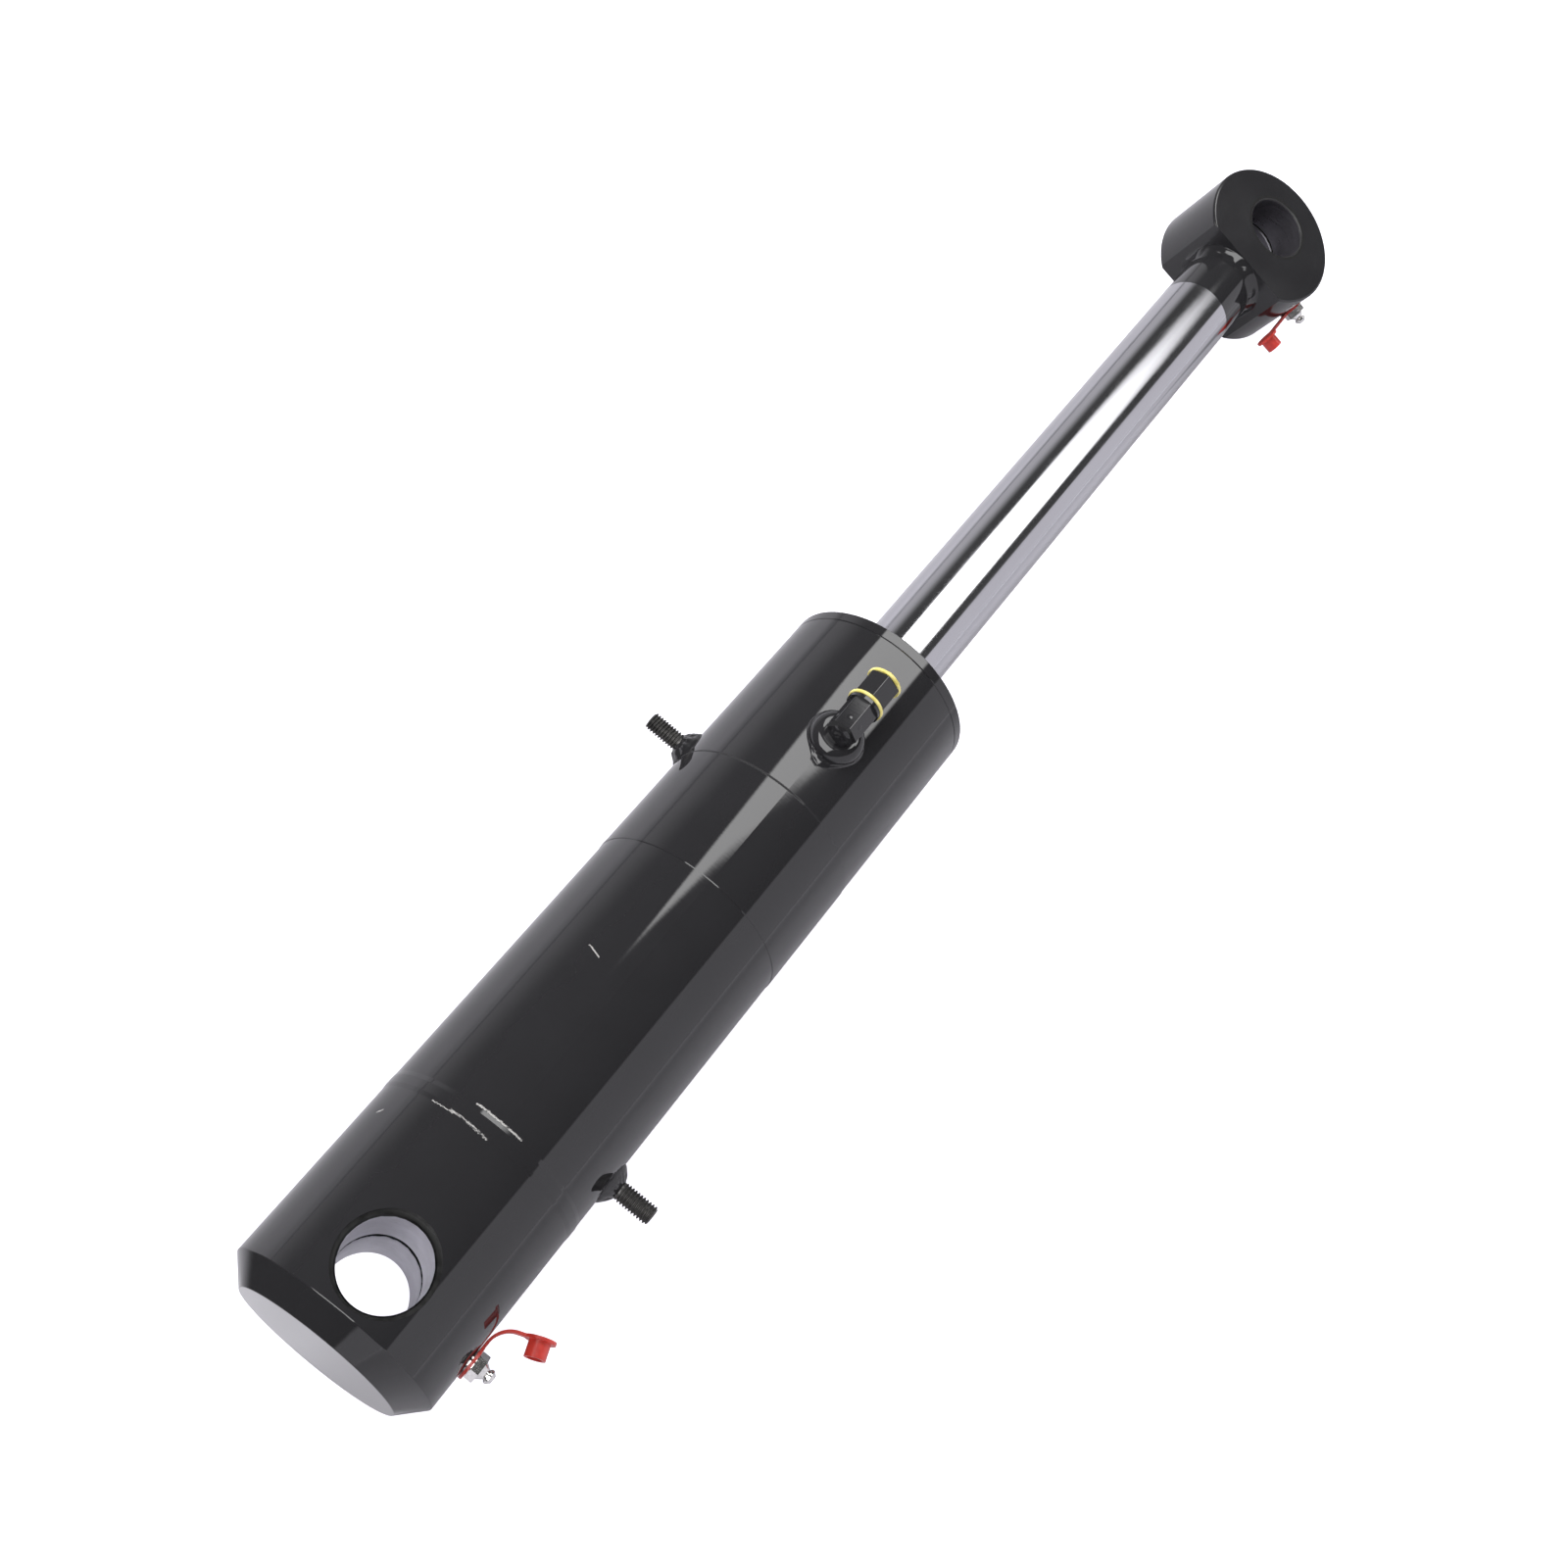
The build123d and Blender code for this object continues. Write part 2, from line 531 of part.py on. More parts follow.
for name, zerk_plane, strap_bend in (("base", BASE_ZERK_PLANE, 70.0), ("eye", EYE_ZERK_PLANE, 0.0)):
    side_plane = Plane(origin=zerk_plane.origin, x_dir=zerk_plane.x_dir, z_dir=zerk_plane.y_dir * -1)
    with BuildPart() as grease_fitting:
        extrude(disc(zerk_plane.offset(-ZERK_THREAD), ZERK_THREAD_R), amount=ZERK_THREAD + ZERK_HEX_START)
        extrude(hexagon(zerk_plane.offset(ZERK_HEX_START), ZERK_FLATS), amount=ZERK_HEX_END - ZERK_HEX_START)
        head = outline(
            (0, ZERK_HEX_END),
            (4.3, ZERK_HEX_END),
            (2.8, ZERK_HEX_END + 2.2),
            (ZERK_WAIST_R, ZERK_HEX_END + 2.9),
            (ZERK_HEAD_R, ZERK_HEIGHT - 2.6),
            (ZERK_HEAD_R, ZERK_HEIGHT - 1.7),
            (1.7, ZERK_HEIGHT),
            (0, ZERK_HEIGHT),
            plane=side_plane,
        )
        revolve(head, axis=Axis(zerk_plane.origin, zerk_plane.z_dir))
        extrude(
            disc(zerk_plane.offset(-ZERK_THREAD), 1.4),
            amount=ZERK_THREAD + ZERK_HEX_START,
            mode=Mode.SUBTRACT,
        )
    grease_fitting.part.label = f"{name}_grease_fitting"
    export_step(grease_fitting.part, f"parts/{name}_grease_fitting.step")

    bend = math.radians(strap_bend)
    mid = CAP_CLEARANCE + STRAP_THICKNESS / 2
    bend_end = (STRAP_STRAIGHT + STRAP_BEND_R * math.sin(bend), mid + STRAP_BEND_R * (1 - math.cos(bend)))
    reach = CAP_REACH - STRAP_STRAIGHT - STRAP_BEND_R * bend
    cap_at = (bend_end[0] + reach * math.cos(bend), bend_end[1] + reach * math.sin(bend))
    cap_origin = zerk_plane.from_local_coords(Vector(cap_at[0], 0, cap_at[1]))
    cap_axis = zerk_plane.x_dir * -math.sin(bend) + zerk_plane.z_dir * math.cos(bend)
    cap_plane = Plane(origin=cap_origin, x_dir=zerk_plane.y_dir, z_dir=cap_axis)
    with BuildPart() as grease_cap:
        extrude(disc(zerk_plane.offset(CAP_CLEARANCE), EYELET_R, EYELET_HOLE_R), amount=STRAP_THICKNESS)
        with BuildSketch(side_plane):
            with BuildLine():
                Line((STRAP_START, mid), (STRAP_STRAIGHT, mid))
                if bend:
                    CenterArc((STRAP_STRAIGHT, mid + STRAP_BEND_R), STRAP_BEND_R, -90, strap_bend)
                Line(bend_end, cap_at)
            trace(line_width=STRAP_THICKNESS)
        extrude(amount=STRAP_WIDTH / 2, both=True)
        extrude(disc(cap_plane.offset(-STRAP_THICKNESS / 2), CAP_FLANGE_R), amount=STRAP_THICKNESS)
        extrude(disc(cap_plane, CAP_CUP_R), amount=CAP_CUP_LENGTH + STRAP_THICKNESS / 2)
        extrude(
            disc(cap_plane.offset(CAP_CUP_LENGTH + STRAP_THICKNESS / 2), CAP_HOLE_R),
            amount=-CAP_HOLE_DEPTH,
            mode=Mode.SUBTRACT,
        )
    grease_cap.part.label = f"{name}_grease_cap"
    export_step(grease_cap.part, f"parts/{name}_grease_cap.step")

# ---------------------------------------------------------------- rod and rod eye

with BuildPart() as rod:
    revolve(outline(
        (ROD_REAR_X, 0),
        (ROD_REAR_X, PILOT_R - 1.5),
        (ROD_REAR_X + 1.5, PILOT_R),
        (PISTON_FRONT_X, PILOT_R),
        (PISTON_FRONT_X, ROD_R),
        (CHROME_END_X, ROD_R),
        (CHROME_END_X, SPIGOT_R),
        (CHROME_END_X + SPIGOT_LENGTH, SPIGOT_R),
        (CHROME_END_X + SPIGOT_LENGTH, 0),
    ), axis=Axis.X)
rod.part.label = "rod"
export_step(rod.part, "parts/rod.step")

with BuildPart() as rod_shank:
    revolve(outline(
        (CHROME_END_X, SPIGOT_R + PILOT_FIT),
        (CHROME_END_X, ROD_R),
        (EYE_FLAT_X, ROD_R),
        (EYE_FLAT_X, 0),
        (CHROME_END_X + SPIGOT_LENGTH, 0),
        (CHROME_END_X + SPIGOT_LENGTH, SPIGOT_R + PILOT_FIT),
    ), axis=Axis.X)
rod_shank.part.label = "rod_shank"
export_step(rod_shank.part, "parts/rod_shank.step")

with BuildPart() as rod_eye_weld:
    with BuildSketch(Plane.XZ):
        with BuildLine():
            Polyline((EYE_FLAT_X - EYE_WELD_LENGTH, ROD_R), (EYE_FLAT_X, ROD_R), (EYE_FLAT_X, EYE_WELD_R))
            RadiusArc((EYE_FLAT_X, EYE_WELD_R), (EYE_FLAT_X - EYE_WELD_LENGTH, ROD_R), 12.0)
        make_face()
    revolve(axis=Axis.X)
rod_eye_weld.part.label = "rod_eye_weld"
export_step(rod_eye_weld.part, "parts/rod_eye_weld.step")

with BuildPart() as rod_eye:
    extrude(disc(EYE_PLANE.offset(-EYE_HALF_WIDTH), EYE_R), amount=2 * EYE_HALF_WIDTH)
    fillet(rod_eye.edges().filter_by(GeomType.CIRCLE), EYE_EDGE)
    split(bisect_by=Plane.YZ.offset(EYE_FLAT_X), keep=Keep.TOP)
    extrude(disc(EYE_PIN_PLANE.offset(-EYE_HALF_WIDTH), BUSH_R), amount=2 * EYE_HALF_WIDTH, mode=Mode.SUBTRACT)
    extrude(disc(EYE_ZERK_PLANE.offset(-ZERK_THREAD), ZERK_THREAD_R), amount=2 * ZERK_THREAD, mode=Mode.SUBTRACT)
    extrude(disc(EYE_ZERK_PLANE, GREASE_DRILL_R), amount=-EYE_R, mode=Mode.SUBTRACT)
rod_eye.part.label = "rod_eye"
export_step(rod_eye.part, "parts/rod_eye.step")

# ---------------------------------------------------------------- piston, its nut and its seals

seal_root = PISTON_R - SEAL_DEPTH
guide_root = PISTON_R - GUIDE_DEPTH
with BuildPart() as piston:
    revolve(outline(
        (PISTON_REAR_X, NUT_POCKET_R),
        (PISTON_REAR_X, PISTON_R - 1),
        (PISTON_REAR_X + 1, PISTON_R),
        (REAR_GUIDE_X, PISTON_R),
        (REAR_GUIDE_X, guide_root),
        (REAR_GUIDE_X + GUIDE_WIDTH + 2 * GROOVE_PLAY, guide_root),
        (REAR_GUIDE_X + GUIDE_WIDTH + 2 * GROOVE_PLAY, PISTON_R),
        (PISTON_SEAL_X, PISTON_R),
        (PISTON_SEAL_X, seal_root),
        (PISTON_SEAL_X + SEAL_WIDTH + 2 * GROOVE_PLAY, seal_root),
        (PISTON_SEAL_X + SEAL_WIDTH + 2 * GROOVE_PLAY, PISTON_R),
        (FRONT_GUIDE_X, PISTON_R),
        (FRONT_GUIDE_X, guide_root),
        (FRONT_GUIDE_X + GUIDE_WIDTH + 2 * GROOVE_PLAY, guide_root),
        (FRONT_GUIDE_X + GUIDE_WIDTH + 2 * GROOVE_PLAY, PISTON_R),
        (PISTON_FRONT_X - PISTON_EDGE, PISTON_R),
        (PISTON_FRONT_X, PISTON_R - PISTON_EDGE),
        (PISTON_FRONT_X, PILOT_R),
        (PILOT_GROOVE_X + 3 * O_RING_SECTION, PILOT_R),
        (PILOT_GROOVE_X + 3 * O_RING_SECTION, PILOT_R + 2.2 * O_RING_SECTION),
        (PILOT_GROOVE_X, PILOT_R + 2.2 * O_RING_SECTION),
        (PILOT_GROOVE_X, PILOT_R),
        (NUT_SEAT_X, PILOT_R),
        (NUT_SEAT_X, NUT_POCKET_R),
    ), axis=Axis.X)
piston.part.label = "piston"
export_step(piston.part, "parts/piston.step")

with BuildPart() as piston_o_ring:
    with BuildSketch(Plane.XZ):
        with Locations((PILOT_GROOVE_X + 1.5 * O_RING_SECTION, PILOT_R + 1.1 * O_RING_SECTION)):
            Circle(O_RING_SECTION)
    revolve(axis=Axis.X)
piston_o_ring.part.label = "piston_o_ring"
export_step(piston_o_ring.part, "parts/piston_o_ring.step")

with BuildPart() as piston_nut:
    extrude(hexagon(Plane.YZ.offset(NUT_REAR_X), NUT_FLATS), amount=NUT_LENGTH)
    extrude(disc(Plane.YZ.offset(NUT_REAR_X), PILOT_R), amount=NUT_LENGTH, mode=Mode.SUBTRACT)
piston_nut.part.label = "piston_nut"
export_step(piston_nut.part, "parts/piston_nut.step")

for label, ring_x, width, root in (
    ("piston_guide_rear", REAR_GUIDE_X, GUIDE_WIDTH, guide_root),
    ("piston_guide_front", FRONT_GUIDE_X, GUIDE_WIDTH, guide_root),
    ("piston_seal", PISTON_SEAL_X, SEAL_WIDTH, seal_root),
):
    with BuildPart() as piston_ring:
        revolve(rectangle_ring(
            ring_x + GROOVE_PLAY,
            ring_x + GROOVE_PLAY + width,
            root + GROOVE_PLAY,
            BORE_R - RUNNING_FIT,
        ), axis=Axis.X)
    piston_ring.part.label = label
    export_step(piston_ring.part, f"parts/{label}.step")

print("stroke room", round(ROD_REAR_X - CHAMBER_BASE_X, 2), "mm; pin to pin", EYE_PIN_X, "mm")
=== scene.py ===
import math

import bpy
from mathutils import Matrix, Vector, noise


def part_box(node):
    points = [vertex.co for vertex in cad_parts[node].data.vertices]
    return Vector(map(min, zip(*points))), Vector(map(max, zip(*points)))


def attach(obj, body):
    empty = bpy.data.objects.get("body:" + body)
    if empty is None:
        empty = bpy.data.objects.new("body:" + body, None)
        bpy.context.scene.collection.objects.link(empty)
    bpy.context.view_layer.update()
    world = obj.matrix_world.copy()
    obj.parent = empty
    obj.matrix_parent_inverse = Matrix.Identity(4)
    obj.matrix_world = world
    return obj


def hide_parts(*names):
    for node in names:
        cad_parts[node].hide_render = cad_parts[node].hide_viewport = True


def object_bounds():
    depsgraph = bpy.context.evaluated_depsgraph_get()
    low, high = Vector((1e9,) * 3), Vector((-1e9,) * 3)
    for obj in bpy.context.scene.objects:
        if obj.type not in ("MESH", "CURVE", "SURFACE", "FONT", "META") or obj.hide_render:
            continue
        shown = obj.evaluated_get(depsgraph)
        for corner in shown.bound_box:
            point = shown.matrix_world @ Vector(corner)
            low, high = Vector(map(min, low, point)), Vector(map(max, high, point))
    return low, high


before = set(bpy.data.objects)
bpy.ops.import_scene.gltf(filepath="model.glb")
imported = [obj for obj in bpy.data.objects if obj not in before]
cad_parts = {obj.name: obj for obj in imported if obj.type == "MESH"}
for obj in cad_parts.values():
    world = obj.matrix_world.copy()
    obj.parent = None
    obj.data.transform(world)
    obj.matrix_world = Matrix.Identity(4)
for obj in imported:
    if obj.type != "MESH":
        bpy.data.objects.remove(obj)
cad_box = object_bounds()

MM = 0.001
AXIS_X = Vector((1, 0, 0))
UP_Y, DOWN_Y, DOWN_Z = Vector((0, 1, 0)), Vector((0, -1, 0)), Vector((0, 0, -1))
WHITE = (1.0, 1.0, 1.0)


def clamp(value, low=0.0, high=1.0):
    return max(low, min(high, value))


def smooth(low, high, value):
    t = clamp((value - low) / (high - low))
    return t * t * (3 - 2 * t)


# ---------------------------------------------------------------- node graphs


class Graph:
    """Short-hand for building a node tree."""

    def __init__(self, tree):
        self.tree = tree
        tree.nodes.clear()

    def node(self, kind, **settings):
        made = self.tree.nodes.new(kind)
        for key, value in settings.items():
            setattr(made, key, value)
        return made

    def plug(self, source, target):
        if hasattr(source, "is_output"):
            self.tree.links.new(source, target)
        else:
            target.default_value = source

    def math(self, operation, *values, clamped=False):
        made = self.node("ShaderNodeMath", operation=operation, use_clamp=clamped)
        for value, target in zip(values, made.inputs):
            self.plug(value, target)
        return made.outputs[0]

    def add(self, a, b):
        return self.math("ADD", a, b)

    def times(self, a, b):
        return self.math("MULTIPLY", a, b)

    def step(self, value, low, high, out_low=0.0, out_high=1.0):
        """Smooth ramp from out_low to out_high as value goes from low to high."""
        made = self.node("ShaderNodeMapRange", interpolation_type="SMOOTHSTEP")
        for given, target in zip((value, low, high, out_low, out_high), made.inputs):
            self.plug(given, target)
        return made.outputs[0]

    def mix(self, share, a, b):
        made = self.node("ShaderNodeMix", data_type="RGBA")
        self.plug(share, made.inputs[0])
        self.plug(a, made.inputs[6])
        self.plug(b, made.inputs[7])
        return made.outputs[2]

    def split(self, vector):
        made = self.node("ShaderNodeSeparateXYZ")
        self.plug(vector, made.inputs[0])
        return made.outputs

    def here(self):
        return self.node("ShaderNodeTexCoord").outputs["Object"]

    def stretched(self, scale, at=None):
        made = self.node("ShaderNodeVectorMath", operation="MULTIPLY")
        self.plug(at or self.here(), made.inputs[0])
        made.inputs[1].default_value = scale
        return made.outputs[0]

    def noise(self, scale, detail=2.0, rough=0.5, at=None):
        """Noise from 0 to 1; scale is per metre, one number or one for each axis."""
        stretch = scale if isinstance(scale, tuple) else (scale,) * 3
        made = self.node("ShaderNodeTexNoise")
        self.plug(self.stretched(stretch, at), made.inputs["Vector"])
        made.inputs["Scale"].default_value = 1.0
        made.inputs["Detail"].default_value = detail
        made.inputs["Roughness"].default_value = rough
        return made.outputs[0]

    def bump(self, height, distance, normal=None):
        made = self.node("ShaderNodeBump")
        made.inputs["Strength"].default_value = 1.0
        made.inputs["Distance"].default_value = distance
        self.plug(height, made.inputs["Height"])
        if normal:
            self.plug(normal, made.inputs["Normal"])
        return made.outputs[0]


# Tints: the studio's slightly lilac white, the paint's two shades, chrome, and metal bared by a scrape
LILAC = (1.0, 0.985, 1.05)
PAINT_TINTS = ((1.0, 0.98, 1.06), (1.0, 0.98, 1.08))
CHROME_TINT = (0.985, 0.98, 1.03)
BARE_TINTS = ((1.0, 0.97, 0.93), (1.0, 0.98, 0.96))


def grey(value, tint=WHITE):
    return (value * tint[0], value * tint[1], value * tint[2], 1.0)


def surface(name, colour, roughness, normal=None, **constants):
    """Material whose colour, roughness and normal come from functions that build them in a Graph.

    Any other input of the shader is a constant, or a function too.
    """
    made = bpy.data.materials.new(name)
    made.use_nodes = True
    g = Graph(made.node_tree)
    out = g.node("ShaderNodeOutputMaterial")
    shader = g.node("ShaderNodeBsdfPrincipled")
    g.plug(shader.outputs[0], out.inputs[0])
    for key, value in constants.items():
        socket = shader.inputs[key.replace("_", " ").title().replace("Ior", "IOR")]
        g.plug(value(g) if callable(value) else value, socket)
    g.plug(colour(g), shader.inputs["Base Color"])
    g.plug(roughness(g), shader.inputs["Roughness"])
    if normal:
        g.plug(normal(g), shader.inputs["Normal"])
    return made


# ---------------------------------------------------------------- paint

weld_low, weld_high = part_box("base_weld")
WELD_X = (weld_low.x + weld_high.x) / 2
BARREL_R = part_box("barrel_tube")[1].z
# Middle of the ramp at the rod end of the barrel's raised band, where paint has gathered and
# lost its gloss; then half the line's width, and where it begins on the side towards -Y
BAND_RAMP_X = 273.2 * MM
BAND_LINE_EDGE = (0.5 * MM, 0.8 * MM)
BAND_LINE_SIDE = (-11.0 * MM, -6.0 * MM)
# The base bore's wall is dull between its two bushes: how far from the bore's axis and middle
BUSH_SEAT_EDGE = (22.2 * MM, 22.6 * MM)
BUSH_GAP_EDGE = (3.0 * MM, 4.0 * MM)
# Scrapes in the paint: start and end as (x in mm, degrees round from +Z towards +Y), width in mm,
# and how broken up, as the level of noise from 0 to 1 that it takes to show
SCRAPES = (
    ((WELD_X / MM - 4.2, 35.0), (WELD_X / MM - 4.2, 22.0), 0.35, 0.34),
    ((WELD_X / MM - 3.4, 24.0), (WELD_X / MM - 4.6, 2.0), 1.0, 0.46),
    ((WELD_X / MM + 4.6, 16.0), (WELD_X / MM + 4.2, -10.5), 0.8, 0.36),
    ((155.4, 26.0), (152.8, 18.0), 0.55, 0.34),
    ((47.8, 60.0), (49.7, 57.0), 0.5, 0.34),
)
# How far a scrape wanders along X in mm, where its edge is in widths from its middle, how
# softly its breaks begin, and its depth
SCRAPE_WANDER = 1.9
SCRAPE_EDGE = (0.45, 0.6)
SCRAPE_BREAK = 0.09
SCRAPE_DEPTH = 0.08 * MM


def scrape_mask(g):
    """1 in the scrapes and 0 elsewhere, broken up along their length."""
    here = g.here()
    x, y, z = g.split(here)
    x = g.times(x, 1 / MM)
    along = g.times(g.math("ARCTAN2", y, z), BARREL_R / MM)
    rough_edge = g.add(g.noise((260.0, 1500.0, 1500.0), 4.0, 0.7), -0.5)
    broken = g.noise((800.0, 260.0, 260.0), 5.0, 0.75)
    x = g.add(x, g.times(rough_edge, SCRAPE_WANDER))
    total = None
    for (ax, aa), (bx, ba), width, gaps in SCRAPES:
        start = (ax, math.radians(aa) * BARREL_R / MM)
        end = (bx, math.radians(ba) * BARREL_R / MM)
        run = (end[0] - start[0], end[1] - start[1])
        length2 = run[0] ** 2 + run[1] ** 2
        dx = g.add(x, -start[0])
        da = g.add(along, -start[1])
        share = g.times(g.add(g.times(dx, run[0]), g.times(da, run[1])), 1 / length2)
        share = g.math("MINIMUM", g.math("MAXIMUM", share, 0.0), 1.0)
        ex = g.math("SUBTRACT", dx, g.times(share, run[0]))
        ea = g.math("SUBTRACT", da, g.times(share, run[1]))
        away = g.math("SQRT", g.add(g.times(ex, ex), g.times(ea, ea)))
        inside = g.step(away, width * SCRAPE_EDGE[0], width * SCRAPE_EDGE[1], 1.0, 0.0)
        kept = g.step(broken, gaps, gaps + SCRAPE_BREAK)
        one = g.times(inside, kept)
        total = one if total is None else g.math("MAXIMUM", total, one)
    upper_side = g.step(z, 0.0, 4.0 * MM)
    return g.times(total, upper_side)


def paint(name, level=0.0145, rough=0.045, ripple=3.2e-6, peel=2.2e-6, scraped=False):
    """Gloss black enamel over steel: fine ripples round the part, orange peel and a little dust.

    ripple and peel are heights in metres.
    """

    def colour(g):
        cloud = g.noise(42.0, 3.0)
        base = g.mix(cloud, grey(level * 0.9, PAINT_TINTS[0]), grey(level * 1.12, PAINT_TINTS[1]))
        dust = g.step(g.noise(2400.0, 2.0, 0.6), 0.76, 0.82)
        base = g.mix(g.times(dust, 0.35), base, grey(0.09))
        if scraped:
            metal = g.mix(g.noise(1800.0, 3.0), grey(0.2, BARE_TINTS[0]), grey(0.6, BARE_TINTS[1]))
            base = g.mix(scrape_mask(g), base, metal)
        return base

    def roughness(g):
        value = g.step(g.noise(30.0, 3.0), 0.3, 0.7, rough * 0.75, rough * 1.3)
        value = g.add(value, g.step(g.noise(1300.0, 2.0), 0.62, 0.8, 0.0, 0.05))
        if scraped:
            value = g.add(value, g.times(scrape_mask(g), 0.5))
            x, y, z = g.split(g.here())
            from_pin = g.math("SQRT", g.add(g.times(x, x), g.times(y, y)))
            in_bore = g.step(from_pin, *BUSH_SEAT_EDGE, 1.0, 0.0)
            in_gap = g.step(g.math("ABSOLUTE", z), *BUSH_GAP_EDGE, 1.0, 0.0)
            value = g.add(value, g.times(g.times(in_bore, in_gap), 0.9))
            from_ramp = g.math("ABSOLUTE", g.add(x, -BAND_RAMP_X))
            line = g.times(g.step(from_ramp, *BAND_LINE_EDGE, 1.0, 0.0), g.step(y, *BAND_LINE_SIDE))
            value = g.add(value, g.times(line, 0.7))
        return value

    def normal(g):
        rounds = g.noise((900.0, 45.0, 45.0), 3.0, 0.55)
        orange = g.noise(420.0, 2.0, 0.5)
        bumped = g.bump(rounds, ripple)
        bumped = g.bump(orange, peel, bumped)
        if scraped:
            bumped = g.bump(scrape_mask(g), -SCRAPE_DEPTH, bumped)
        return bumped

    return surface(name, colour, roughness, normal, ior=1.5, specular_ior_level=0.5)


# ---------------------------------------------------------------- metals, plastics, rubber


def chrome(name):
    """Polished chrome with faint turning marks round it and smears along it."""

    def colour(g):
        return g.mix(g.noise((8.0, 60.0, 60.0), 3.0), grey(0.43, CHROME_TINT), grey(0.50, CHROME_TINT))

    def roughness(g):
        smear = g.step(g.noise((14.0, 120.0, 120.0), 4.0, 0.6), 0.35, 0.75, 0.085, 0.15)
        return g.add(smear, g.step(g.noise((2600.0, 60.0, 60.0), 2.0), 0.5, 0.9, 0.0, 0.06))

    def normal(g):
        return g.bump(g.noise((3000.0, 40.0, 40.0), 3.0, 0.6), 1.1e-6)

    return surface(name, colour, roughness, normal, metallic=1.0)


# The bushes' lead-in chamfer and its roughness, and how far the edge of the paint on them wanders
BUSH_LEAD_IN = 0.8 * MM
LEAD_IN_ROUGH = 0.6
PAINT_WANDER = 0.8 * MM


def bare_metal(name, dark, light, rough, grain, grain_depth, tint=WHITE, metallic=1.0,
               painted=None, shade_and_paint_level=0.03, painted_rough=None):
    """Turned or plated metal: grain gives the marks' density for each axis, per metre.

    painted is for bushes: the direction of their bore, how far along it the gap between them
    reaches, which is darkened as painted shade, and where the paint on their ends begins.
    painted_rough makes that paint a gloss one.
    """

    def height_along(g):
        """Distance from the bore's middle, along its axis."""
        dot = g.node("ShaderNodeVectorMath", operation="DOT_PRODUCT")
        g.plug(g.here(), dot.inputs[0])
        dot.inputs[1].default_value = painted[0]
        return g.math("ABSOLUTE", dot.outputs["Value"])

    def shaded_gap_and_painted_ends(g):
        """1 in the gap between the bushes, for painted shade, and on their painted ends, 0 elsewhere.
        """
        gap, start = painted[1:]
        height = g.add(height_along(g), g.times(g.add(g.noise(300.0, 3.0), -0.5), PAINT_WANDER))
        end = g.step(height, start, start + 0.2 * MM)
        return g.math("MAXIMUM", end, g.step(height, gap, gap + 0.3 * MM, 1.0, 0.0))

    def colour(g):
        fine = g.noise(grain, 4.0, 0.65)
        cloud = g.noise(90.0, 3.0)
        both = g.math("MULTIPLY_ADD", fine, 0.5, g.times(cloud, 0.5))
        bare = g.mix(g.step(both, 0.3, 0.72), grey(dark, tint), grey(light, tint))
        if painted:
            # painted shade in the gap between the bushes, and real paint on their ends
            bare = g.mix(shaded_gap_and_painted_ends(g), bare, grey(shade_and_paint_level))
        return bare

    def roughness(g):
        bare = g.step(g.noise(grain, 3.0), 0.25, 0.75, rough * 0.75, rough * 1.25)
        if not painted_rough:
            return bare
        shade_or_paint = shaded_gap_and_painted_ends(g)
        bare = g.times(bare, g.math("SUBTRACT", 1.0, shade_or_paint))
        chamfer_end = painted[2] + BUSH_LEAD_IN
        end_rough = g.step(
            height_along(g), chamfer_end, chamfer_end + 0.07 * MM, LEAD_IN_ROUGH, painted_rough
        )
        return g.add(g.times(shade_or_paint, end_rough), bare)

    def normal(g):
        return g.bump(g.noise(grain, 4.0, 0.65), grain_depth)

    def metal_share(g):
        if not painted_rough:
            return metallic
        return g.times(g.math("SUBTRACT", 1.0, shaded_gap_and_painted_ends(g)), metallic)

    return surface(name, colour, roughness, normal, metallic=metal_share)


def plastic(name, dark, light, rough, peel, clear=0.0):
    """Moulded plastic or rubber between two colours; clear is how much of a gloss coat it has."""

    def colour(g):
        return g.mix(g.step(g.noise(220.0, 3.0), 0.3, 0.7), dark + (1.0,), light + (1.0,))

    def roughness(g):
        return g.step(g.noise(700.0, 2.0), 0.25, 0.75, rough * 0.8, rough * 1.2)

    def normal(g):
        return g.bump(g.noise(900.0, 3.0, 0.6), peel)

    return surface(name, colour, roughness, normal, ior=1.5, coat_weight=clear)


PAINT = paint("paint")
PAINT_SCRAPED = paint("paint_scraped", scraped=True)
PAINT_WELD = paint("paint_weld", level=0.0125, rough=0.06, ripple=0.0, peel=9e-6)
PAINT_DULL = paint("paint_dull", level=0.0145, rough=0.12, peel=4e-6)
CHROME = chrome("hard_chrome")
EYE_TURN = math.radians(12.2)
EYE_AXIS = (0.0, -math.sin(EYE_TURN), math.cos(EYE_TURN))
EYE_HALF_WIDTH = 26.6 * MM
BASE_BUSH_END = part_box("base_bush_upper")[1].z
PAINTED_END = 0.9 * MM
